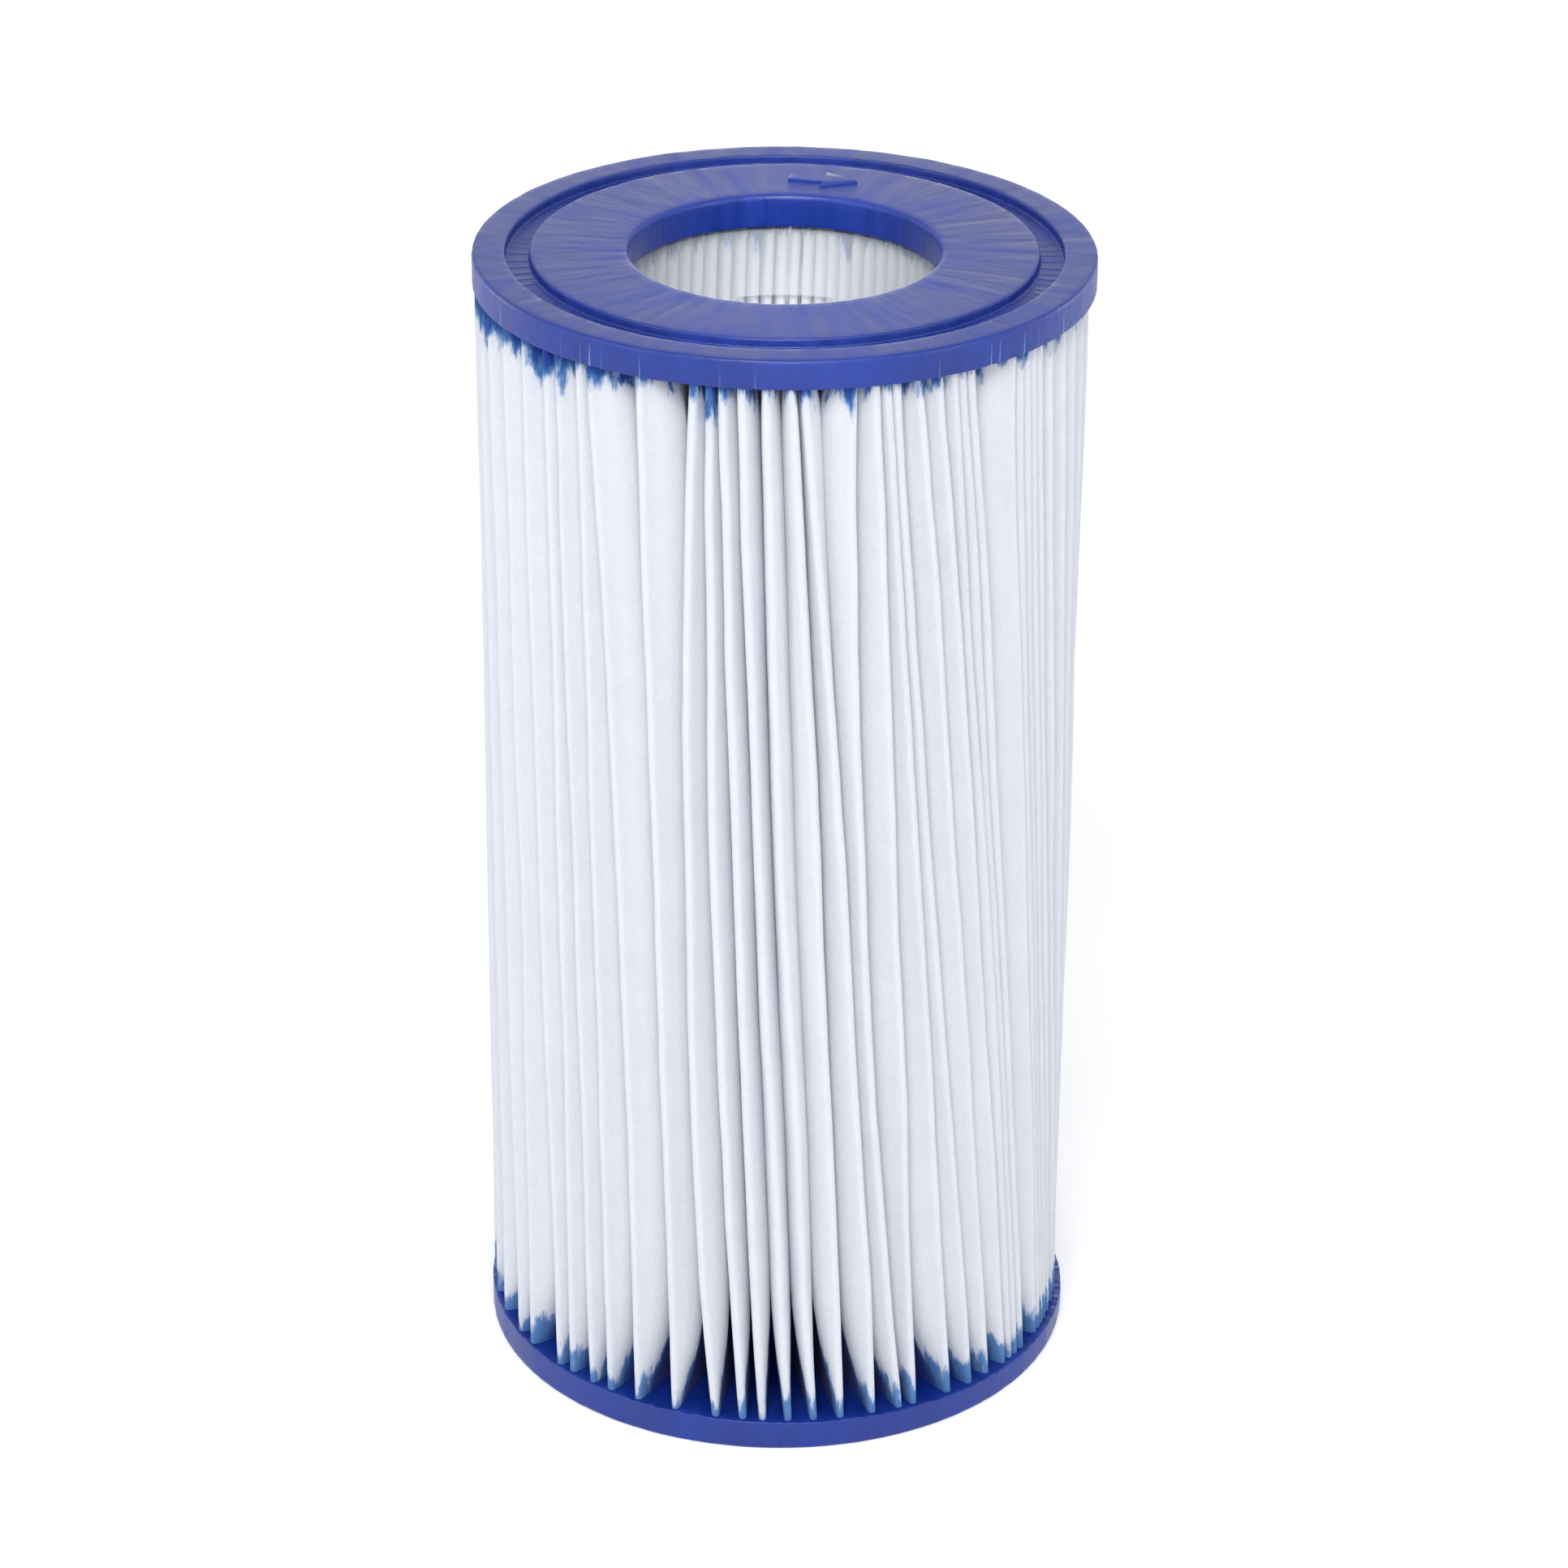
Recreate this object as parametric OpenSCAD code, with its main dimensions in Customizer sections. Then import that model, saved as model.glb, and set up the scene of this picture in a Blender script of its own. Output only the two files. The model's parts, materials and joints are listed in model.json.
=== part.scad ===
// Pleated filter cartridge for a small pool pump.
// A strip of polyester felt is pleated, wrapped round a windowed plastic core, closed with a glued
// side seam, and potted at each end in a cast ring of flexible blue resin.
// The cartridge stands on Z = 0 and its axis is the Z axis.

/* [Overall] */
// Height over both end caps
cartridge_h = 203; // [120:1:260]
// Outer diameter of the end caps
cartridge_d = 104; // [90:1:130]
// Diameter of the port through each end cap
port_d = 52; // [42:0.5:56]

/* [End caps] */
// Height of a cap at its outer rim
rim_h = 5.3; // [4:0.1:9]
// How far the lip round the port stands below the rest of the cap
lip_drop = 0.4; // [0.1:0.1:1]
// Width of that lip
lip_w = 0.5; // [0.3:0.1:0.5]
// Rounding of the rim's outer edge
rim_edge_r = 0.6; // [0.2:0.1:1]
// Rounding of the port's edge
port_edge_r = 0.8; // [0.2:0.1:1]
// Width of the land outside the ring groove
rim_land_w = 5.5; // [3:0.1:8]
// Width of the ring groove in the cap's face
groove_w = 4.2; // [2:0.1:6]
// Depth of the ring groove
groove_depth = 1.6; // [0.8:0.1:2.2]
// Resin left between the ring groove's floor and the pleat ends
end_cover = 0.3; // [0.2:0.1:0.8]
// Resin left outside the pleat crests
crest_cover = 0.8; // [0.5:0.1:2]

/* [Raised mark] */
// Length of the arrow on the top cap
mark_l = 12; // [6:0.5:14]
// Width of the arrow's head
mark_w = 7; // [4:0.5:9]
// Height of the arrow above the cap's face
mark_h = 0.5; // [0.2:0.1:1]
// Angle from the side seam round to the arrow
mark_angle = 11; // [0:1:40]

/* [Pleated media] */
// Number of pleats
pleat_count = 72; // [48:1:86]
// Thickness of the felt
felt_t = 0.5; // [0.3:0.05:0.6]
// Radius of the felt's middle line where it turns at a crest
crest_bend_r = 0.55; // [0.4:0.05:0.8]
// Radius of the felt's middle line where it turns at a root
root_bend_r = 0.55; // [0.4:0.05:0.65]
// How far the seam's adhesive starts behind the two free edges of the strip
seam_recess = 0.3; // [0.2:0.1:1]
// Depth of the glued seam
seam_depth = 5; // [2:0.5:10]

/* [Core] */
// Radial step from the port's wall out to the core's inner wall
core_step = 1; // [0.6:0.1:2]
// Wall thickness of the core
core_wall = 1.2; // [0.8:0.1:2]
// Clearance between the core and the pleat roots
core_clearance = 0.2; // [0.1:0.05:0.5]
// How deep the core's foot is potted in the bottom cap
core_pot_depth = 2; // [1:0.1:3]
// Gap between the core's rim and the top cap's lip
core_end_gap = 0.8; // [0.3:0.1:1]
// Number of windows around the core
window_columns = 6; // [4:1:8]
// Number of windows along the core
window_rows = 6; // [3:1:8]
// Width of the strut between two windows, as an angle in degrees
strut_angle = 24; // [15:1:30]
// Plain band above the top row of windows
rim_band_h = 12; // [6:0.5:16]
// Height of the ring between two rows of windows
ring_h = 9.5; // [5:0.5:12]
// Corner radius of a window
window_corner_r = 1.5; // [0.5:0.1:3]

/* [Hidden] */
$fn = 96;

// Chords in each rounded edge and each bend of the felt
edge_chords = 6;
bend_chords = 4;
// Overlap that lets a cutter break cleanly through a face
cut_through = 1;

rim_r = cartridge_d / 2;
port_r = port_d / 2;
lip_h = rim_h + lip_drop;
groove_outer_r = rim_r - rim_land_w;
groove_inner_r = groove_outer_r - groove_w;

core_inner_r = port_r + core_step;
core_outer_r = core_inner_r + core_wall;
core_foot_z = rim_h - core_pot_depth;
core_rim_z = cartridge_h - lip_h - core_end_gap;
core_length = core_rim_z - core_foot_z;

crest_r = rim_r - crest_cover;
root_r = core_outer_r + core_clearance;
felt_end = groove_depth + end_cover;
felt_h = cartridge_h - 2 * felt_end;
pitch = 360 / pleat_count;
crest_centre_r = crest_r - felt_t / 2 - crest_bend_r;
root_centre_r = root_r + felt_t / 2 + root_bend_r;

window_zone_h = core_length - rim_band_h - (rim_band_h + core_pot_depth);
window_h = (window_zone_h - (window_rows - 1) * ring_h) / window_rows;
window_w = 2 * core_outer_r * sin((360 / window_columns - strut_angle) / 2);

// ---- end caps -------------------------------------------------------------------------------

function arc(centre, r, from, to, chords) =
    [for (i = [0 : chords]) centre + r * [cos(from + (to - from) * i / chords),
                                          sin(from + (to - from) * i / chords)]];

// Half section of a cap that lies face down: X is the radius and Y the height above its face.
module cap_section() {
    polygon(concat(
        arc([port_r + port_edge_r, port_edge_r], port_edge_r, 180, 270, edge_chords),
        [[groove_inner_r, 0], [groove_inner_r, groove_depth],
         [groove_outer_r, groove_depth], [groove_outer_r, 0]],
        arc([rim_r - rim_edge_r, rim_edge_r], rim_edge_r, 270, 360, edge_chords),
        [[rim_r, rim_h], [port_r + lip_w, rim_h], [port_r + lip_w, lip_h], [port_r, lip_h]]));
}

// Everything that was standing in the mould when the resin was poured
module potted_parts() {
    felt_strip();
    seam_fillet(felt_t / 2);
    core_tube();
}

module bottom_end_cap() {
    color("mediumblue") difference() {
        rotate_extrude() cap_section();
        potted_parts();
    }
}

module top_end_cap() {
    color("mediumblue") {
        difference() {
            translate([0, 0, cartridge_h]) mirror([0, 0, 1]) rotate_extrude() cap_section();
            potted_parts();
        }
        rotate([0, 0, -mark_angle])
            translate([0, (port_r + groove_inner_r) / 2, cartridge_h]) raised_arrow();
    }
}

// Plain arrow along the ring, with a shaft and a head of equal length, that shows which end is up
module raised_arrow() {
    shaft_w = mark_w / 3;
    linear_extrude(height = mark_h)
        polygon([[-mark_l / 2, -shaft_w / 2], [0, -shaft_w / 2], [0, -mark_w / 2],
                 [mark_l / 2, 0], [0, mark_w / 2], [0, shaft_w / 2], [-mark_l / 2, shaft_w / 2]]);
}

// ---- core -----------------------------------------------------------------------------------

module core_tube() {
    translate([0, 0, core_foot_z]) difference() {
        cylinder(r = core_outer_r, h = core_length);
        translate([0, 0, -cut_through])
            cylinder(r = core_inner_r, h = core_length + 2 * cut_through);
    }
}

module rounded_window(w, h, r) {
    polygon(concat(
        arc([w / 2 - r, h / 2 - r], r, 0, 90, edge_chords),
        arc([r - w / 2, h / 2 - r], r, 90, 180, edge_chords),
        arc([r - w / 2, r - h / 2], r, 180, 270, edge_chords),
        arc([w / 2 - r, r - h / 2], r, 270, 360, edge_chords)));
}

module centre_core() {
    top_row_z = core_rim_z - rim_band_h - window_h / 2;
    color("lightcyan") difference() {
        core_tube();
        for (row = [0 : window_rows - 1], column = [0 : window_columns - 1])
            rotate([0, 0, (column + 0.5) * 360 / window_columns])
                translate([core_inner_r / 2, 0, top_row_z - row * (window_h + ring_h)])
                    rotate([90, 0, 90])
                        linear_extrude(height = core_outer_r)
                            rounded_window(window_w, window_h, window_corner_r);
    }
}

// ---- pleated media --------------------------------------------------------------------------
// The felt is a ribbon that turns round a small circle at each crest and each root. A flank is the
// line that touches a crest circle on one side and the next root circle on the other, so one side
// of the felt has crest circles that are larger by half its thickness and root circles that are
// smaller by as much.

function polar(r, a) = r * [cos(a), sin(a)];
function crest_centre(k) = polar(crest_centre_r, k * pitch);
function root_centre(k) = polar(root_centre_r, (k + 0.5) * pitch);

// Distance between neighbouring crest and root centres, and the angle at the crest between the
// line to the axis and the line to the root
centre_gap = norm(root_centre(0) - crest_centre(0));
root_swing = asin(root_centre_r * sin(pitch / 2) / centre_gap);
// Half of the turn that the felt makes at a crest and at a root
crest_turn = 180 - root_swing - acos((crest_bend_r + root_bend_r) / centre_gap);
root_turn = crest_turn - pitch / 2;

function crest_arc(k, offset) =
    arc(crest_centre(k), crest_bend_r + offset, k * pitch - crest_turn, k * pitch + crest_turn,
        bend_chords);
function root_arc(k, offset) =
    arc(root_centre(k), root_bend_r - offset, (k + 0.5) * pitch + 180 + root_turn,
        (k + 0.5) * pitch + 180 - root_turn, bend_chords);

// One side of the ribbon, from the free edge at crest 0 all the way round to the other free edge
function ribbon_side(offset) =
    concat([crest_centre(0) + polar(crest_bend_r + offset, crest_turn)],
           [for (k = [0 : pleat_count - 1]) each
               concat(k > 0 ? crest_arc(k, offset) : [], root_arc(k, offset))],
           [crest_centre(0) + polar(crest_bend_r + offset, -crest_turn)]);

function reversed(list) = [for (i = [len(list) - 1 : -1 : 0]) list[i]];

module at_seam() {
    translate([0, 0, felt_end]) rotate([0, 0, 90]) linear_extrude(height = felt_h) children();
}

module felt_strip() {
    at_seam() polygon(concat(ribbon_side(felt_t / 2), reversed(ribbon_side(-felt_t / 2))));
}

// Adhesive between the strip's two free edges: side = 1 is one flank and side = -1 the other, and
// reach is how far the outline runs into the felt on that side.
function seam_line(side, reach) =
    let (edge = crest_centre(0) + polar(crest_bend_r - felt_t / 2 + reach, side * crest_turn),
         inward = side * (crest_turn + 90))
    [edge + polar(seam_recess, inward), edge + polar(seam_recess + seam_depth, inward)];

module seam_fillet(reach) {
    at_seam() polygon(concat(seam_line(1, reach), reversed(seam_line(-1, reach))));
}

module pleated_media() {
    color("aliceblue") felt_strip();
}

module seam_bond() {
    color("ivory") seam_fillet(0);
}

bottom_end_cap();
top_end_cap();
centre_core();
pleated_media();
seam_bond();
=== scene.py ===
"""The finish of a pleated filter cartridge: felt, seam, core, two cast caps, and the studio."""
import json
import math
import random

import bmesh
import bpy
from mathutils import Matrix, Vector, noise


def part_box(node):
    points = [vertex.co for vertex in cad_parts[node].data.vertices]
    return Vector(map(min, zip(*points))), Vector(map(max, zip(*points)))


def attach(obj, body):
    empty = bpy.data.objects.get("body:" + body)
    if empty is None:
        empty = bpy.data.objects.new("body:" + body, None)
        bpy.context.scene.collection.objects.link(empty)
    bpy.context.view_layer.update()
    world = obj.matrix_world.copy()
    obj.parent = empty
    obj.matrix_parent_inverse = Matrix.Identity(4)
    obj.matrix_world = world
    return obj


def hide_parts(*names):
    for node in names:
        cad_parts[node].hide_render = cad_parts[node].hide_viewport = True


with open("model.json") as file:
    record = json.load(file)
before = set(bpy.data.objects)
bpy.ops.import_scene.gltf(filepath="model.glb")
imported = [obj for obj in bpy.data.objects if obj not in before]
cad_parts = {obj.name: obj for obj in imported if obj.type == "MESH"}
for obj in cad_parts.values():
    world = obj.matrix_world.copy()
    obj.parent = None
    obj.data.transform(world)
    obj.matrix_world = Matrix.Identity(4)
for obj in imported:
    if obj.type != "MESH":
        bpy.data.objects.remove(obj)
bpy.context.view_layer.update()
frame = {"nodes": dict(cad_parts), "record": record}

mm = 0.001

# ---- Pleated media --------------------------------------------------------------------------
# One strip of spunbonded polyester felt, folded to and fro, wrapped round the core and potted at
# both ends. The folds are pressed shut in the resin and open out between the caps, where they lean,
# bunch and drift round the axis, because the strip was turned a little as it went into the mould.

felt_low, felt_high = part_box("pleated_media")
core_low, core_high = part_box("centre_core")
upper_resin_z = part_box("top_end_cap")[0].z + 0.4 * mm
lower_resin_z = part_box("bottom_end_cap")[1].z - 0.4 * mm

felt_thickness = 0.5 * mm
crest_radius = felt_high.x
root_radius = core_high.x + 0.6 * mm
pressed_bend = 0.42 * mm
open_bend = 0.5 * mm
root_bend = 0.5 * mm
pack_shift = Vector((-0.4 * mm, 0))

# Where each fold on the front meets the top cap, half height and the bottom cap, in degrees to the
# right of the front. The rest go round the back at uneven distances.
front_folds = [
    (-77, -73.5, -72), (-70, -66.5, -63.5), (-62.5, -59.5, -58), (-55, -52, -48.5), (-48, -46, -44.5),
    (-45, -42, -39), (-39.5, -37, -34.5), (-37, -31, -28), (-26.5, -23, -20), (-16, -17, -12),
    (-13, -11.5, -6.5), (-10.5, -7, -2.5), (-7, -3, 2.5), (-2.5, 1.5, 7.5), (2, 8, 13),
    (4.5, 13, 19.5), (13, 16.5, 25), (17.5, 23, 28.5), (19.5, 28, 36.5), (21.5, 31, 42),
    (26, 36.5, 47), (30, 41.5, 52.5), (33, 44, 55), (35, 46, 57), (37, 48, 59.5),
    (47.5, 55.5, 66), (49.5, 57.5, 68), (51.5, 59.5, 70), (53.5, 61.5, 72), (55.5, 64, 75),
    (59, 68, 79), (65, 73, 83)]
fold_heights = (195 * mm, 100 * mm, 10 * mm)
fold_count = 72

dice = random.Random(5)
spacings = [0.45 + 1.5 * dice.random() ** 2 for _ in range(fold_count - len(front_folds) + 1)]
folds = list(front_folds)
for i in range(1, len(spacings)):
    share = sum(spacings[:i]) / sum(spacings)
    folds.append(tuple(last + (360 + first - last) * share
                       for first, last in zip(front_folds[0], front_folds[-1])))
seam_fold = min(range(fold_count), key=lambda k: abs(folds[k][1] - 180))
fullness = [0.85 + 0.15 * dice.random() for _ in range(2 * fold_count)]
# the folds lean over like shingles towards this angle, and their crests curl back by this much
lean_centre = 2.5
curl = 1.3 * mm
# where the points of a flank lie, from its crest (0) to its root (1)
flank_shares = (0.04, 0.1, 0.2, 0.38, 0.66)
# the flank that shows fills most of the gap beside it, and the flank behind it the rest
even_share, lean_share = 0.43, 0.34
widest_belly = 4.5 * mm
# makes the hump s * (1 - s) ** 4 one high where it is highest, at s = 0.2
hump_scale = 12.2


def opened(z):
    """How far the folds have opened: 0 in the lower resin, a little in the upper, 1 between them."""
    above = max(z - lower_resin_z, 0) / (16 * mm)
    below = (max(upper_resin_z - z, 0) + 5 * mm) / (7 * mm)
    return (1 - math.exp(-above ** 1.5)) * (1 - math.exp(-below ** 1.5))


def crest_angles(z):
    """The angle of every crest at height z, on a curve through its three known places."""
    a, b, c = fold_heights
    shares = ((z - b) * (z - c) / ((a - b) * (a - c)),
              (z - a) * (z - c) / ((b - a) * (b - c)),
              (z - a) * (z - b) / ((c - a) * (c - b)))
    return [sum(share * angle for share, angle in zip(shares, fold))
            + 0.5 * opened(z) * noise.noise((7.3 * k, z / (45 * mm), 0))
            + 0.22 * opened(z) * noise.noise((3.9 * k, z / (13 * mm), 5))
            for k, fold in enumerate(folds)]


def root_angles(crests):
    """The roots hug the core, so each lies at the mean angle of the crests near it."""
    reach = 7
    laps = [angle + lap for lap in (-360, 0, 360) for angle in crests]
    return [sum(laps[fold_count + k - reach:fold_count + k + reach + 2]) / (2 * reach + 2)
            for k in range(fold_count)]


def around(radius, degrees):
    return Vector((radius * math.sin(math.radians(degrees)), -radius * math.cos(math.radians(degrees))))


def heading(angle):
    return Vector((math.cos(angle), math.sin(angle)))


def smooth(low, high, x):
    t = min(max((x - low) / (high - low), 0), 1)
    return t * t * (3 - 2 * t)


def half_turn(centre, radius, start, end, steps):
    """Points on a circle, with their headings, from the angle start to end the short way in steps."""
    sweep = (end - start + math.pi) % (2 * math.pi) - math.pi
    angles = [start + sweep * i / steps for i in range(steps + 1)]
    return [(centre + radius * heading(a), heading(a)) for a in angles]


def side_of_fold(k, side, z, crest_at, root_at, gap):
    """Half of a fold, as its crest's arc, its flank and its root's arc: side is 1 to the right of the
    crest and -1 to the left, and gap is the angle to the next crest on that side. Each point comes
    with the heading that faces out of the fold."""
    open_share = 0 if k == seam_fold else opened(z)
    width = math.radians(gap) * crest_radius
    relaxed_bend = pressed_bend + (open_bend - pressed_bend) * open_share
    bend = min(relaxed_bend, width / 2 - 0.6 * felt_thickness)
    sunk = 0.6 * mm * open_share * max(noise.noise((3.1 * k, z / (60 * mm), 4)), 0)
    crest = around(crest_radius - felt_thickness / 2 - bend - sunk, crest_at) + pack_shift
    root = around(root_radius + felt_thickness / 2 + root_bend, root_at) + pack_shift
    across = root - crest
    leave = math.atan2(across.y, across.x) - side * math.acos((bend + root_bend) / across.length)
    facing = heading(leave)
    start, end = crest + bend * facing, root - root_bend * facing
    lean = side * math.tanh(3 * math.sin(math.radians(lean_centre - crest_at)))
    clear = max(width - 2 * bend - felt_thickness, 0)
    filled = clear * (even_share + lean_share * lean) * fullness[2 * k + (side > 0)]
    belly = open_share * min(filled, widest_belly)
    flank = []
    for s in flank_shares:
        ripple = 0.12 * mm * open_share * noise.noise((5.7 * k + side, z / (22 * mm), 3 * s))
        hump = hump_scale * s * (1 - s) ** 4
        bow = (belly + curl * lean * open_share) * hump + ripple
        flank.append((start.lerp(end, s) + facing * bow, facing))
    crest_arc = half_turn(crest, bend, math.atan2(crest.y, crest.x), leave, 2)
    root_arc = half_turn(root, root_bend, leave + math.pi, math.atan2(-root.y, -root.x), 1)
    return crest_arc, flank, [(point, -out) for point, out in root_arc]


def felt_section(z):
    """The felt's middle line at height z, from one free edge at the seam round to the other."""
    crests = crest_angles(z)
    roots = root_angles(crests)
    line = []
    for step in range(fold_count + 1):
        k = (seam_fold + step) % fold_count
        gap = (crests[(k + 1) % fold_count] - crests[k]) % 360
        gap_before = (crests[k] - crests[k - 1]) % 360
        if step > 0:
            crest_arc, flank, root_arc = side_of_fold(k, -1, z, crests[k], roots[k - 1], gap_before)
            line += [*reversed(root_arc[:-1]), *reversed(flank)]
            line += reversed(crest_arc) if step < fold_count else [crest_arc[-1]]
        if step < fold_count:
            crest_arc, flank, root_arc = side_of_fold(k, 1, z, crests[k], roots[k], gap)
            line += crest_arc[1:] if step > 0 else [crest_arc[-1]]
            line += [*flank, *root_arc]
    return line


near_core = 15 * mm


def soaked(point, z):
    """How far inside the resin's wicking front a point of the felt lies, in metres. At the top the
    resin ran further on the left and in a few drips, and at the bottom it pooled in the valleys."""
    angle = math.degrees(math.atan2(point.x, -point.y))
    depth = crest_radius - point.length
    thirsty = 0.7 + 0.6 * noise.noise((angle / 2.1, 0.5, 9))
    left = smooth(-22, -48, angle) * (1 - 0.5 * smooth(-120, -150, angle))
    left += 0.5 * smooth(95, 130, angle)
    drips = math.exp(-((angle + 13) / 3.5) ** 2) + math.exp(-((angle - 12) / 1.2) ** 2)
    down = (0.3 + 6 * left + 3.5 * drips) * thirsty * mm + 0.5 * min(depth, 3 * mm)
    if depth > near_core:
        down = (1.5 + 10 * max(noise.noise((angle / 3, 0.5, 4)), 0)) * mm
    pooled = math.exp(-((angle - 1) / 11) ** 2)
    up = (3.0 + 2.0 * smooth(-20, -60, angle)) * thirsty * mm
    up += (1.3 + 1.6 * pooled) * min(depth, 9 * mm)
    return max(z - upper_resin_z + down, lower_resin_z + up - z)


def richness(point, z):
    """How much resin the soaked felt holds: thin on the crests at the bottom, full in the valleys."""
    depth = crest_radius - point.length
    return 1.0 if z > 100 * mm else 0.15 + 0.85 * smooth(1 * mm, 7 * mm, depth)


def felt_mesh():
    """Both faces of the felt, level by level, closed along the ends and the two free edges."""
    middle, half = (felt_low.z + felt_high.z) / 2, (felt_high.z - felt_low.z) / 2
    level_count = 38
    # the levels crowd towards both caps, where the folds open
    shares = [2 * i / (level_count - 1) - 1 for i in range(level_count)]
    levels = [middle + half * s * (1.5 - 0.5 * s * s) for s in shares]
    mesh = bmesh.new()
    soak = mesh.verts.layers.float.new("soak")
    rich = mesh.verts.layers.float.new("rich")
    rows = []
    for z in levels:
        line = felt_section(z)
        for side in (1, -1):
            row = []
            for point, facing in line:
                place = point + facing * side * felt_thickness / 2
                vertex = mesh.verts.new((place.x, place.y, z))
                vertex[soak] = soaked(point, z) / mm
                vertex[rich] = richness(point, z)
                row.append(vertex)
            rows.append(row)
    last = len(rows[0]) - 1
    for level in range(level_count - 1):
        outer, inner, next_outer, next_inner = rows[2 * level:2 * level + 4]
        for i in range(last):
            mesh.faces.new((outer[i], outer[i + 1], next_outer[i + 1], next_outer[i]))
            mesh.faces.new((inner[i + 1], inner[i], next_inner[i], next_inner[i + 1]))
        mesh.faces.new((inner[0], outer[0], next_outer[0], next_inner[0]))
        mesh.faces.new((outer[last], inner[last], next_inner[last], next_outer[last]))
    for i in range(last):
        mesh.faces.new((rows[0][i + 1], rows[0][i], rows[1][i], rows[1][i + 1]))
        mesh.faces.new((rows[-2][i], rows[-2][i + 1], rows[-1][i + 1], rows[-1][i]))
    return mesh


def make_object(name, mesh, material, smooth_limit=40):
    """A mesh object whose edges stay sharp where the faces meet at more than smooth_limit degrees."""
    data = bpy.data.meshes.new(name)
    for face in mesh.faces:
        face.smooth = True
    for edge in mesh.edges:
        if len(edge.link_faces) == 2:
            edge.smooth = edge.calc_face_angle(0) < math.radians(smooth_limit)
    mesh.to_mesh(data)
    mesh.free()
    data.materials.append(material)
    piece = bpy.data.objects.new(name, data)
    bpy.context.scene.collection.objects.link(piece)
    return piece


def linear(colour):
    """An sRGB hex colour as linear red, green, blue and alpha."""
    channels = [int(colour[i:i + 2], 16) / 255 for i in (1, 3, 5)]
    return [c / 12.92 if c <= 0.04045 else ((c + 0.055) / 1.055) ** 2.4 for c in channels] + [1]


def add_node(tree, kind, inputs=None, **settings):
    """A shader node with its settings; inputs hold a value or the socket that feeds them."""
    node = tree.nodes.new("ShaderNode" + kind)
    for name, value in settings.items():
        setattr(node, name, value)
    for name, value in (inputs or {}).items():
        if isinstance(value, bpy.types.NodeSocket):
            tree.links.new(value, node.inputs[name])
        else:
            node.inputs[name].default_value = value
    return node


def new_material(name):
    """A material with an empty tree but for its output; returns the material, tree and output."""
    material = bpy.data.materials.new(name)
    material.use_nodes = True
    tree = material.node_tree
    tree.nodes.clear()
    return material, tree, add_node(tree, "OutputMaterial")


# Spunbonded polyester felt: white fibres in a random swirl, matt, faintly blue, with soft cloudy
# patches where the web is thicker. Resin that has wicked into it is a pale blue at its ragged
# front and darkens towards the cap.
felt_colour = "#F6F8FC"
felt_thin_colour = "#EEF1F7"
front_colour = "#6A9BD3"
soak_colour = "#3567B2"
deep_soak_colour = "#2038A4"

felt, tree, output = new_material("spunbond_polyester_felt")
where = add_node(tree, "TexCoord").outputs["Object"]
swirl = add_node(tree, "TexNoise", {"Vector": where, "Scale": 90.0, "Detail": 3.0})
bent = add_node(tree, "VectorMath", {0: swirl.outputs["Color"], "Scale": 0.004}, operation="SCALE")
fibre_place = add_node(tree, "VectorMath", {0: where, 1: bent.outputs[0]})
# fibres lie about 0.4 mm apart at their coarsest and run 0.8 mm up the felt
long_way = add_node(tree, "Mapping", {"Vector": fibre_place.outputs[0],
                                      "Scale": (2600.0, 2600.0, 1300.0)})
fibres = add_node(tree, "TexNoise", {"Vector": long_way.outputs[0], "Scale": 1.0, "Detail": 4.0,
                                     "Roughness": 0.65})
clouds = add_node(tree, "TexNoise", {"Vector": where, "Scale": 160.0, "Detail": 4.0, "Roughness": 0.6})
web = add_node(tree, "Math", {0: clouds.outputs["Fac"], 1: 0.4, 2: fibres.outputs["Fac"]},
               operation="MULTIPLY_ADD")
thickness = add_node(tree, "MapRange", {"Value": web.outputs[0], "From Min": 0.5, "From Max": 0.9})
plain = add_node(tree, "Mix", {0: thickness.outputs[0], 6: linear(felt_thin_colour),
                               7: linear(felt_colour)}, data_type="RGBA")
soak_value = add_node(tree, "Attribute", attribute_name="soak").outputs["Fac"]
# the front breaks up into tongues about 2 mm wide and 6 mm long
tongue_place = add_node(tree, "Mapping", {"Vector": where, "Scale": (520.0, 520.0, 130.0)})
tongues = add_node(tree, "TexNoise", {"Vector": tongue_place.outputs[0], "Scale": 1.0, "Detail": 5.0,
                                      "Roughness": 0.6})
ragged = add_node(tree, "MapRange", {"Value": tongues.outputs["Fac"],
                                     "From Min": 0.3, "From Max": 0.7, "To Min": -3.2, "To Max": 3.2})
front = add_node(tree, "Math", {0: soak_value, 1: ragged.outputs[0]}, operation="ADD")
wet = add_node(tree, "MapRange", {"Value": front.outputs[0], "From Min": -1.0, "From Max": 1.0})
rich_value = add_node(tree, "Attribute", attribute_name="rich").outputs["Fac"]
held = add_node(tree, "Math", {0: front.outputs[0], 1: rich_value}, operation="MULTIPLY")
wetter = add_node(tree, "MapRange", {"Value": held.outputs[0], "From Min": 0.2, "From Max": 2.5})
wettest = add_node(tree, "MapRange", {"Value": held.outputs[0], "From Min": 2.0, "From Max": 6.0})
blue = add_node(tree, "Mix", {0: wetter.outputs[0], 6: linear(front_colour), 7: linear(soak_colour)},
                data_type="RGBA")
deep = add_node(tree, "Mix", {0: wettest.outputs[0], 6: blue.outputs[2], 7: linear(deep_soak_colour)},
                data_type="RGBA")
coloured = add_node(tree, "Mix", {0: wet.outputs[0], 6: plain.outputs[2], 7: deep.outputs[2]},
                    data_type="RGBA")
relief = add_node(tree, "Bump", {"Height": web.outputs[0], "Strength": 0.55, "Distance": 0.00012})
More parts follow.
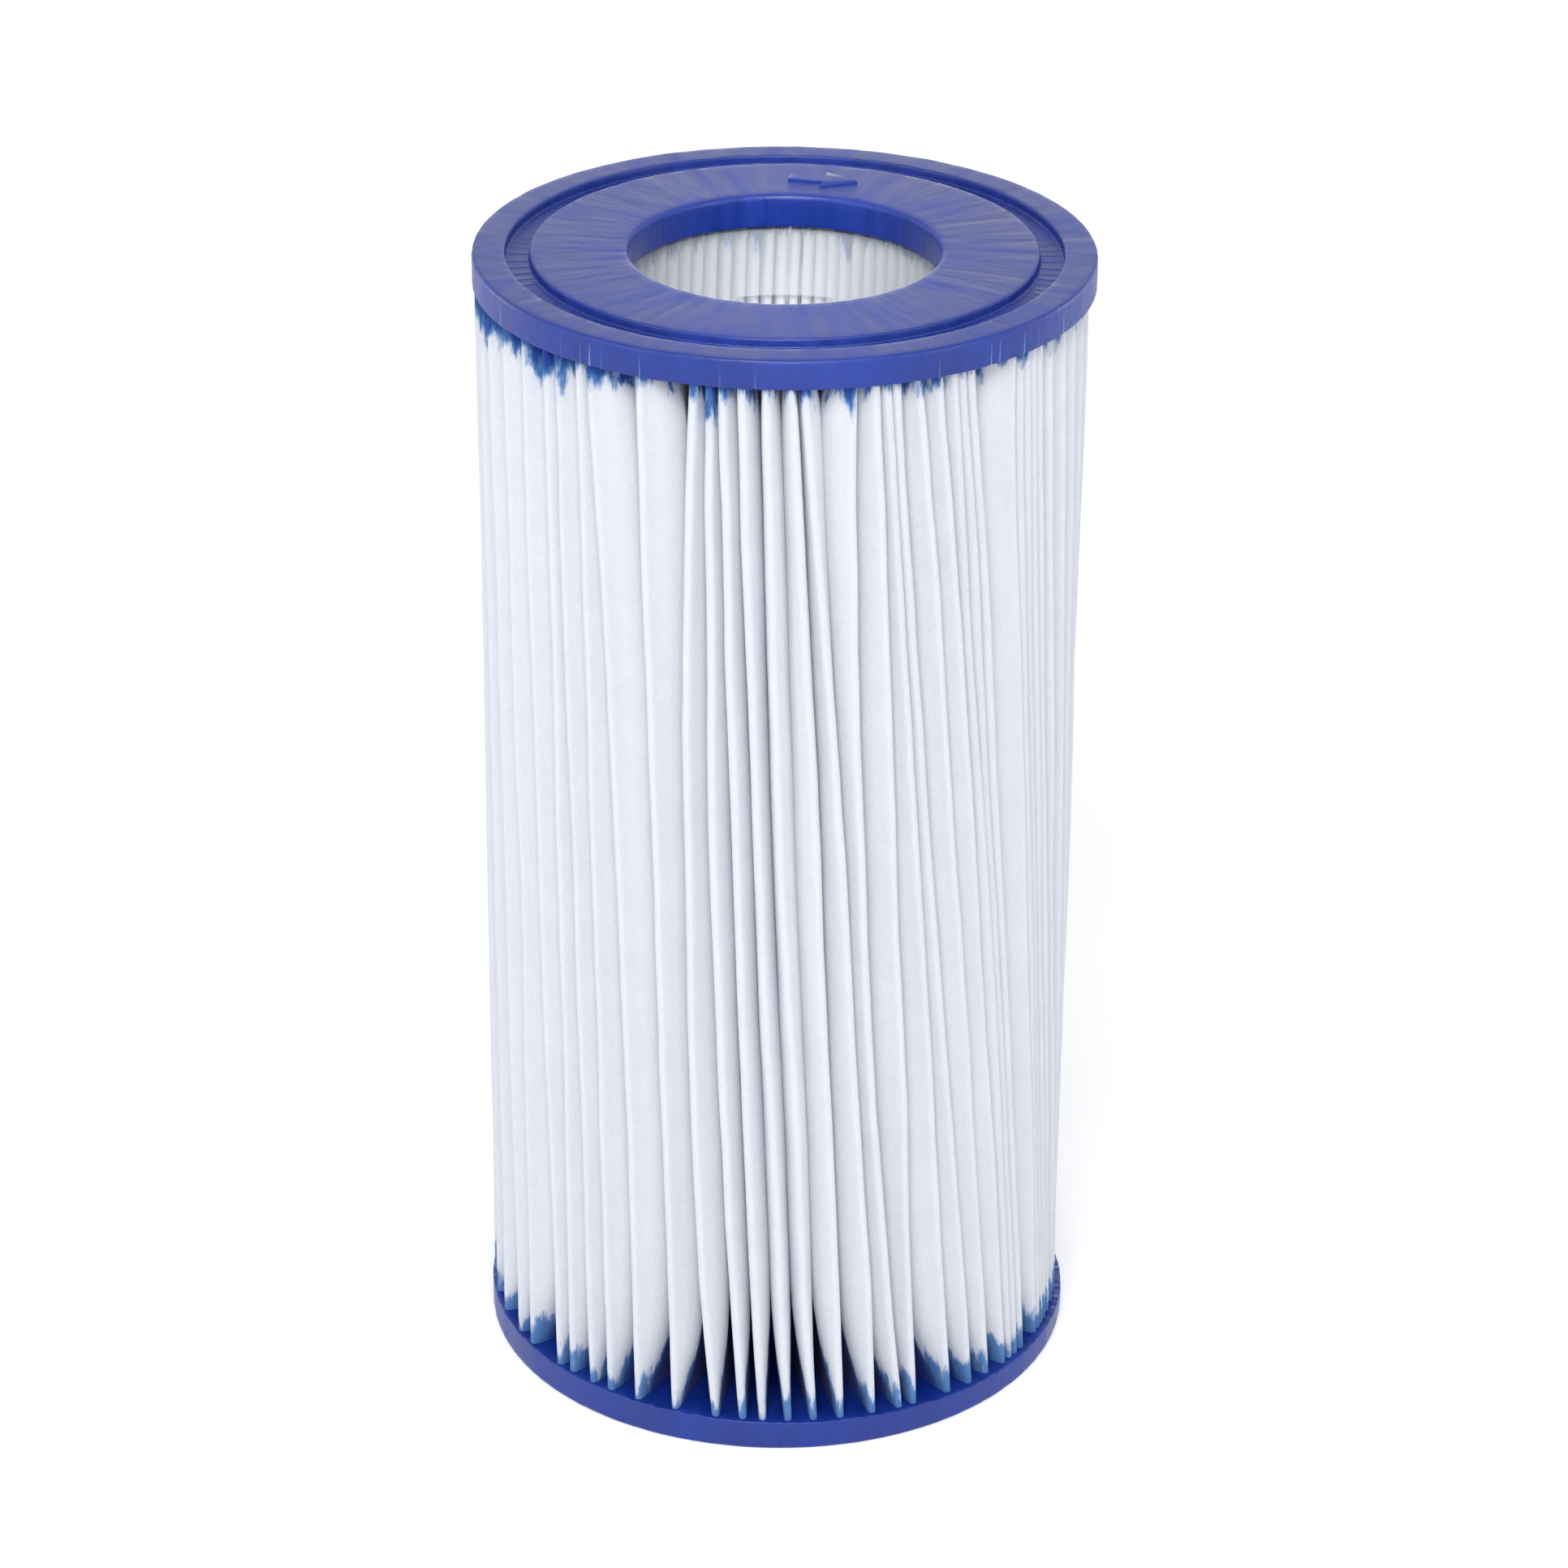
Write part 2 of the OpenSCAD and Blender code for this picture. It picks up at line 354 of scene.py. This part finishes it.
surface = add_node(tree, "BsdfPrincipled", {
    "Base Color": coloured.outputs[2], "Normal": relief.outputs[0], "Roughness": 0.85, "IOR": 1.5,
    "Specular IOR Level": 0.25, "Sheen Weight": 0.08, "Sheen Roughness": 0.6})
# much of the light goes through the web and glows out of the far side
through = add_node(tree, "BsdfTranslucent", {"Color": coloured.outputs[2], "Normal": relief.outputs[0]})
lit_through = add_node(tree, "MixShader", {0: 0.4, 1: surface.outputs[0], 2: through.outputs[0]})
tree.links.new(lit_through.outputs[0], output.inputs["Surface"])

media = make_object("pleated_felt", felt_mesh(), felt, smooth_limit=75)
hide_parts("pleated_media")
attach(media, "root")
half_way = felt_section(100 * mm)

# ---- Seam -----------------------------------------------------------------------------------
# Where the strip's two free edges meet, a bead of hot melt glue holds them together inside the last
# fold. It is milky and fills the gap between the two flanks.

glue_colour = "#E4E2D6"
glue_shade = "#D6D3C2"
glue_depth = 5 * mm
glue_recess = 0.3 * mm


def seam_mesh():
    """A strip between the two flanks of the seam's fold, with slightly uneven ends."""
    mesh = bmesh.new()
    rows = []
    levels = 60
    for j in range(levels + 1):
        z = felt_low.z + (felt_high.z - felt_low.z) * j / levels
        line = felt_section(z)
        first, last = line[0], line[-1]
        row = []
        for (edge, facing), inward in ((first, line[1][0] - first[0]), (last, line[-2][0] - last[0])):
            wall = edge - facing * felt_thickness / 2
            uneven = 0.4 * mm * noise.noise((0, 0, z / (7 * mm)))
            row += [wall + inward.normalized() * glue_recess,
                    wall + inward.normalized() * (glue_recess + glue_depth + uneven)]
        rows.append([mesh.verts.new((p.x, p.y, z)) for p in (row[0], row[1], row[3], row[2])])
    for a, b in zip(rows, rows[1:]):
        for i in range(4):
            mesh.faces.new((a[i], a[(i + 1) % 4], b[(i + 1) % 4], b[i]))
    mesh.faces.new(reversed(rows[0]))
    mesh.faces.new(rows[-1])
    bmesh.ops.recalc_face_normals(mesh, faces=mesh.faces)
    return mesh


glue, tree, output = new_material("hot_melt_glue")
where = add_node(tree, "TexCoord").outputs["Object"]
lumps = add_node(tree, "TexNoise", {"Vector": where, "Scale": 400.0, "Detail": 3.0})
tone = add_node(tree, "Mix", {0: lumps.outputs["Fac"], 6: linear(glue_colour), 7: linear(glue_shade)},
                data_type="RGBA")
relief = add_node(tree, "Bump", {"Height": lumps.outputs["Fac"], "Strength": 0.4, "Distance": 0.0002})
surface = add_node(tree, "BsdfPrincipled", {"Base Color": tone.outputs[2], "Normal": relief.outputs[0],
                                            "Roughness": 0.4, "IOR": 1.49})
tree.links.new(surface.outputs[0], output.inputs["Surface"])

seam = make_object("seam_glue", seam_mesh(), glue)
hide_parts("seam_bond")
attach(seam, "root")

# ---- Core -----------------------------------------------------------------------------------
# A tube of natural polypropylene, injection moulded with rows of windows. It is milky clear, so the
# roots of the folds show through it, with a soft gloss and faint flow marks.

milk_colour = "#F4F7FA"
milk_shade = "#E6ECF2"

core_plastic, tree, output = new_material("natural_polypropylene")
where = add_node(tree, "TexCoord").outputs["Object"]
flow_place = add_node(tree, "Mapping", {"Vector": where, "Scale": (60.0, 60.0, 12.0)})
flow = add_node(tree, "TexNoise", {"Vector": flow_place.outputs[0], "Scale": 1.0, "Detail": 4.0})
milk = add_node(tree, "Mix", {0: flow.outputs["Fac"], 6: linear(milk_colour), 7: linear(milk_shade)},
                data_type="RGBA")
dull = add_node(tree, "MapRange", {"Value": flow.outputs["Fac"], "To Min": 0.22, "To Max": 0.36})
relief = add_node(tree, "Bump", {"Height": flow.outputs["Fac"], "Strength": 0.25, "Distance": 0.0004})
surface = add_node(tree, "BsdfPrincipled", {
    "Base Color": milk.outputs[2], "Normal": relief.outputs[0], "Roughness": dull.outputs[0],
    "IOR": 1.49, "Alpha": 0.22})
tree.links.new(surface.outputs[0], output.inputs["Surface"])
core = frame["nodes"]["centre_core"]
for material_slot in core.material_slots:
    material_slot.material = core_plastic

# ---- Caps -----------------------------------------------------------------------------------
# Each cap is a ring of soft blue polyurethane, cast in an open mould with the folds standing in it.
# The mould gives its face a ring groove and a satin skin; the folds just under the skin show as
# fine raised lines, and the free side of the pour is level and glossy.

rim_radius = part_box("bottom_end_cap")[1].x
port_radius = frame["record"]["mounts"][0]["dims"]["r_mm"] * mm
top_face_z = next(m["pos_m"][2] for m in frame["record"]["mounts"] if m["name"] == "top_seal_face")
groove_inner, groove_outer, groove_depth = 42.3 * mm, 46.5 * mm, 1.6 * mm
lip_radius = port_radius + 0.5 * mm
skirt_height = 5.3 * mm
lip_height = 5.7 * mm
ridge_height = 0.12 * mm
ridge_half_width = 0.28 * mm


def cap_profile():
    """Corners of the cap's half section, lying face down, as radius, height and rounding."""
    return [(port_radius, lip_height, 0.15 * mm), (port_radius, 0, 1.0 * mm),
            (groove_inner, 0, 0.35 * mm), (groove_inner + 0.15 * mm, groove_depth, 0.35 * mm),
            (groove_outer - 0.15 * mm, groove_depth, 0.35 * mm), (groove_outer, 0, 0.35 * mm),
            (rim_radius, 0, 0.7 * mm), (rim_radius, skirt_height, 0.25 * mm),
            (lip_radius, skirt_height, 0.1 * mm), (lip_radius, lip_height, 0.15 * mm)]


def rounded_outline(corners, longest):
    """The closed outline through the corners, each cut back to its rounding and turned in 4 chords."""
    outline = []
    for i, (r, z, rounding) in enumerate(corners):
        here = Vector((r, z))
        before = (Vector(corners[i - 1][:2]) - here).normalized()
        after = (Vector(corners[(i + 1) % len(corners)][:2]) - here).normalized()
        start, end = here + before * rounding, here + after * rounding
        for step in range(5):
            t = step / 4
            outline.append((1 - t) ** 2 * start + 2 * t * (1 - t) * here + t * t * end)
    fine = []
    for a, b in zip(outline, outline[1:] + outline[:1]):
        pieces = max(1, math.ceil((b - a).length / longest))
        fine += [a.lerp(b, i / pieces) for i in range(pieces)]
    return fine


def fold_line_angles():
    """Where the flanks of the folds cross the middle of the groove, in radians."""
    middle = (groove_inner + groove_outer) / 2
    line = [point for point, _ in felt_section(felt_high.z)]
    crossings = []
    for a, b in zip(line, line[1:]):
        if (a.length - middle) * (b.length - middle) < 0:
            spot = a.lerp(b, (middle - a.length) / (b.length - a.length))
            crossings.append(math.atan2(spot.y, spot.x))
    return sorted(crossings)


def cap_mesh(turned_over, segments, skirt_edge):
    """A cap revolved from its section. turned_over puts its face on top; skirt_edge(angle) is how much
    further the pour reaches along the folds at that angle."""
    outline = rounded_outline(cap_profile(), 1.3 * mm)
    ridges = fold_line_angles()
    mesh = bmesh.new()
    columns = []
    nearest = 0
    for s in range(segments):
        angle = -math.pi + 2 * math.pi * s / segments
        while (nearest + 1 < len(ridges)
               and abs(ridges[nearest + 1] - angle) < abs(ridges[nearest] - angle)):
            nearest += 1
        offset = (angle - ridges[nearest]) * (groove_inner + groove_outer) / 2
        ridge = math.exp(-(offset / ridge_half_width) ** 2)
        column = []
        for r, z in outline:
            on_face = smooth(0.9 * mm, 0, z)
            in_groove = smooth(0.6 * mm, 0.2 * mm, abs(z - groove_depth))
            in_groove *= groove_inner < r < groove_outer
            wave = noise.noise((14 * math.cos(angle), 14 * math.sin(angle), r / (9 * mm)))
            lift = -ridge_height * ridge * in_groove + 0.05 * mm * wave * max(on_face, in_groove)
            reach = skirt_edge(angle) * smooth(3.2 * mm, skirt_height, z) * (r > lip_radius + 1 * mm)
            height = max(z + lift + reach, 0)
            bulge = 0.06 * mm * noise.noise((30 * math.cos(angle), 30 * math.sin(angle), z / (2 * mm)))
            radius = r + (bulge - 0.06 * mm) * (r > rim_radius - 0.2 * mm)
            z_place = top_face_z - height if turned_over else height
            column.append(mesh.verts.new((radius * math.cos(angle), radius * math.sin(angle), z_place)))
        columns.append(column)
    count = len(outline)
    for s in range(segments):
        here, after = columns[s], columns[(s + 1) % segments]
        for i in range(count):
            corner = (here[i], here[(i + 1) % count], after[(i + 1) % count], after[i])
            mesh.faces.new(corner)
    bmesh.ops.recalc_face_normals(mesh, faces=mesh.faces)
    return mesh


def upper_skirt(angle):
    ragged = noise.noise((40 * math.cos(angle), 40 * math.sin(angle), 2))
    return (0.1 - 0.45 * -math.sin(angle) + 0.12 * ragged) * mm


def lower_skirt(angle):
    ragged = noise.noise((40 * math.cos(angle), 40 * math.sin(angle), 7))
    return (-0.5 - 0.6 * math.sin(angle) - 0.7 * math.cos(angle) + 0.25 * ragged) * mm


def add_arrow(mesh):
    """The raised arrow on the upper face, standing as the CAD cap's does, with soft edges."""
    length, width, height, angle = 12 * mm, 7 * mm, 0.5 * mm, math.radians(11)
    shaft = width / 3
    outline = [(-length / 2, -shaft / 2), (0, -shaft / 2), (0, -width / 2), (length / 2, 0),
               (0, width / 2), (0, shaft / 2), (-length / 2, shaft / 2)]
    place = (Matrix.Rotation(-angle, 4, "Z")
             @ Matrix.Translation((0, (port_radius + groove_inner) / 2, top_face_z)))
    centre = Vector((0.8 * mm, 0))
    rings = []
    for inset, level in ((0, -0.3 * mm), (0, height - 0.25 * mm),
                         (0.04, height - 0.08 * mm), (0.1, height)):
        ring = []
        for x, y in outline:
            spot = Vector((x, y)).lerp(centre, inset)
            ring.append(mesh.verts.new(place @ Vector((spot.x, spot.y, level))))
        rings.append(ring)
    faces = []
    for low, high in zip(rings, rings[1:]):
        for i in range(len(outline)):
            j = (i + 1) % len(outline)
            faces.append(mesh.faces.new((low[i], low[j], high[j], high[i])))
    faces.append(mesh.faces.new(rings[-1]))
    faces.append(mesh.faces.new(list(reversed(rings[0]))))
    bmesh.ops.recalc_face_normals(mesh, faces=faces)


# Cast polyurethane: deep ultramarine, satin, soft. Radial streaks follow the folds under the skin as a
# faint relief, and their pale tint in the colour is painted sheen; paler blotches vary the tone at random,
# with a fine grain from the mould.
resin_colour = "#06267A"
pale_resin_and_sheen_colour = "#103290"
thin_resin_colour = "#8FA6DA"

resin, tree, output = new_material("cast_blue_polyurethane")
where = add_node(tree, "TexCoord").outputs["Object"]
flat = add_node(tree, "VectorMath", {0: where, 1: (1.0, 1.0, 0.0)}, operation="MULTIPLY")
outward = add_node(tree, "VectorMath", {0: flat.outputs[0]}, operation="NORMALIZE")
radius = add_node(tree, "VectorMath", {0: flat.outputs[0]}, operation="LENGTH")
# streaks are about 3 mm apart at the rim and run 15 mm along the radius
round_place = add_node(tree, "VectorMath", {0: outward.outputs[0], "Scale": 14.0}, operation="SCALE")
radial_place = add_node(tree, "Math", {0: radius.outputs["Value"], 1: 65.0}, operation="MULTIPLY")
lifted = add_node(tree, "CombineXYZ", {"Z": radial_place.outputs[0]})
streak_place = add_node(tree, "VectorMath", {0: round_place.outputs[0], 1: lifted.outputs[0]})
streaks = add_node(tree, "TexNoise", {"Vector": streak_place.outputs[0], "Scale": 1.0, "Detail": 3.0,
                                      "Distortion": 0.4})
grain = add_node(tree, "TexNoise", {"Vector": where, "Scale": 1100.0, "Detail": 4.0, "Roughness": 0.7})
blotches = add_node(tree, "TexNoise", {"Vector": where, "Scale": 70.0, "Detail": 4.0})
# streaks and blotches together set the pale tint: the streaks' share is painted sheen, the blotches' share
# the resin's own uneven tone
uneven = add_node(tree, "Math", {0: streaks.outputs["Fac"], 1: blotches.outputs["Fac"]}, operation="ADD")
tint = add_node(tree, "MapRange", {"Value": uneven.outputs[0], "From Min": 0.7, "From Max": 1.3})
# the paler colour along the streaks is painted sheen, along the blotches real tone
blue = add_node(tree, "Mix", {0: tint.outputs[0], 6: linear(resin_colour), 7: linear(pale_resin_and_sheen_colour)},
                data_type="RGBA")
# here and there a crest stands so near the rim's side that it shows through as a pale upright line
crest_place = add_node(tree, "VectorMath", {0: outward.outputs[0], "Scale": 90.0}, operation="SCALE")
crest_show = add_node(tree, "TexNoise", {"Vector": crest_place.outputs[0], "Scale": 1.0, "Detail": 1.0})
thin_line = add_node(tree, "MapRange", {"Value": crest_show.outputs["Fac"],
                                        "From Min": 0.67, "From Max": 0.75})
up_place = add_node(tree, "SeparateXYZ", {0: where})
fading = add_node(tree, "MapRange", {"Value": up_place.outputs["Z"],
                                     "From Min": top_face_z - 5.5 * mm, "From Max": top_face_z - 0.8 * mm,
                                     "To Min": 0.8, "To Max": 0.0})
on_upper = add_node(tree, "Math", {0: up_place.outputs["Z"], 1: top_face_z / 2}, operation="GREATER_THAN")
on_side = add_node(tree, "Math", {0: radius.outputs["Value"], 1: rim_radius - 0.5 * mm},
                   operation="GREATER_THAN")
there = add_node(tree, "Math", {0: on_upper.outputs[0], 1: on_side.outputs[0]}, operation="MULTIPLY")
line_there = add_node(tree, "Math", {0: thin_line.outputs[0], 1: there.outputs[0]}, operation="MULTIPLY")
pale_line = add_node(tree, "Math", {0: line_there.outputs[0], 1: fading.outputs[0]}, operation="MULTIPLY")
tinted = add_node(tree, "Mix", {0: pale_line.outputs[0], 6: blue.outputs[2], 7: linear(thin_resin_colour)},
                  data_type="RGBA")
worn = add_node(tree, "MapRange", {"Value": uneven.outputs[0], "From Min": 0.7, "From Max": 1.3,
                                   "To Min": 0.34, "To Max": 0.5})
soft = add_node(tree, "Bump", {"Height": streaks.outputs["Fac"], "Strength": 0.5, "Distance": 0.0002})
fine = add_node(tree, "Bump", {"Height": grain.outputs["Fac"], "Strength": 0.4, "Distance": 0.00008,
                               "Normal": soft.outputs[0]})
surface = add_node(tree, "BsdfPrincipled", {
    "Base Color": tinted.outputs[2], "Normal": fine.outputs[0], "Roughness": worn.outputs[0], "IOR": 1.5})
tree.links.new(surface.outputs[0], output.inputs["Surface"])

upper = cap_mesh(True, 1000, upper_skirt)
add_arrow(upper)
upper_cap = make_object("upper_cap", upper, resin)
lower_cap = make_object("lower_cap", cap_mesh(False, 900, lower_skirt), resin)
for piece, node in ((upper_cap, "top_end_cap"), (lower_cap, "bottom_end_cap")):
    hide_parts(node)
    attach(piece, "root")

# ---- Studio ---------------------------------------------------------------------------------
# A white table and backdrop, a broad key light over the front, low softboxes all round and a spot
# down the bore, in a pale room.

white, tree, output = new_material("white_paper")
path = add_node(tree, "LightPath")
seen = add_node(tree, "Math", {0: path.outputs["Is Camera Ray"], 1: path.outputs["Is Glossy Ray"]},
                operation="MAXIMUM")
paper = add_node(tree, "BsdfDiffuse", {"Color": linear("#F4F4F4")})
glow_amount = add_node(tree, "Math", {0: seen.outputs[0], 1: 0.3}, operation="MULTIPLY")
glow = add_node(tree, "Emission", {"Color": (1, 1, 1, 1), "Strength": glow_amount.outputs[0]})
bright = add_node(tree, "AddShader", {0: paper.outputs[0], 1: glow.outputs[0]})
tree.links.new(bright.outputs[0], output.inputs["Surface"])

table = bmesh.new()
bmesh.ops.create_grid(table, x_segments=2, y_segments=2, size=3)
floor = make_object("table", table, white)


def soft_lamp(name, place, target, size, power):
    """A rectangular area light at place that faces target, with its power in watts."""
    data = bpy.data.lights.new(name, "AREA")
    data.shape = "RECTANGLE"
    data.size, data.size_y = size
    data.energy = power
    lamp = bpy.data.objects.new(name, data)
    lamp.location = place
    lamp.rotation_euler = (Vector(target) - Vector(place)).to_track_quat("-Z", "Y").to_euler()
    bpy.context.scene.collection.objects.link(lamp)


aim = (0, 0, 0.1)
softbox_reach = 1.25
# degrees to the right of the front, height in metres and power in watts
softboxes = ((0, 0.25, 1.5), (60, 0.5, 3.2), (-60, 0.5, 3.2), (120, 0.12, 3), (-120, 0.12, 3),
             (180, 0.12, 3))
soft_lamp("key", (-0.1, -1.0, 1.15), aim, (0.6, 0.6), 11)
# a snooted spot that looks down the bore
snoot = bpy.data.objects.new("snoot", bpy.data.lights.new("snoot", "SPOT"))
snoot.data.spot_size, snoot.data.spot_blend = math.radians(2.4), 1.0
snoot.data.energy, snoot.data.shadow_soft_size = 80, 0.02
snoot.location = (0, -0.9, 0.84)
snoot.rotation_euler = (Vector((0, 0, 0.2)) - snoot.location).to_track_quat("-Z", "Y").to_euler()
bpy.context.scene.collection.objects.link(snoot)
for turn, height, power in softboxes:
    place = around(softbox_reach, turn)
    soft_lamp(f"softbox_{turn}", (place.x, place.y, height), aim, (0.5, 0.5), power)

world = bpy.data.worlds.new("room")
bpy.context.scene.world = world
world.use_nodes = True
tree = world.node_tree
tree.nodes.clear()
path = add_node(tree, "LightPath")
mirrored = add_node(tree, "Math", {0: path.outputs["Is Glossy Ray"],
                                   1: path.outputs["Is Transmission Ray"]}, operation="MAXIMUM")
direct = add_node(tree, "Math", {0: path.outputs["Is Camera Ray"], 1: mirrored.outputs[0]},
                  operation="MAXIMUM")
room = add_node(tree, "Background", {"Color": linear("#F2F4F8"), "Strength": 0.5})
backdrop = add_node(tree, "Background", {"Color": (1, 1, 1, 1), "Strength": 1.0})
either = add_node(tree, "MixShader", {0: direct.outputs[0], 1: room.outputs[0], 2: backdrop.outputs[0]})
tree.links.new(either.outputs[0], add_node(tree, "OutputWorld").inputs["Surface"])

camera_data = bpy.data.cameras.new("camera")
camera_data.sensor_width = 36
camera_data.lens = 115
camera = bpy.data.objects.new("camera", camera_data)
bpy.context.scene.collection.objects.link(camera)
pitch, yaw, roll = math.radians(26.097), math.radians(0.041), math.radians(0.453)
forward = Vector((math.sin(yaw) * math.cos(pitch), math.cos(yaw) * math.cos(pitch), -math.sin(pitch)))
level_right = Vector((math.cos(yaw), -math.sin(yaw), 0))
level_up = level_right.cross(forward)
right = math.cos(roll) * level_right + math.sin(roll) * level_up
up = math.cos(roll) * level_up - math.sin(roll) * level_right
camera.matrix_world = (Matrix.Translation((0, -0.78587, 0.48875))
                       @ Matrix((right, up, -forward)).transposed().to_4x4())
bpy.context.scene.camera = camera
bpy.context.scene.view_settings.view_transform = "Standard"
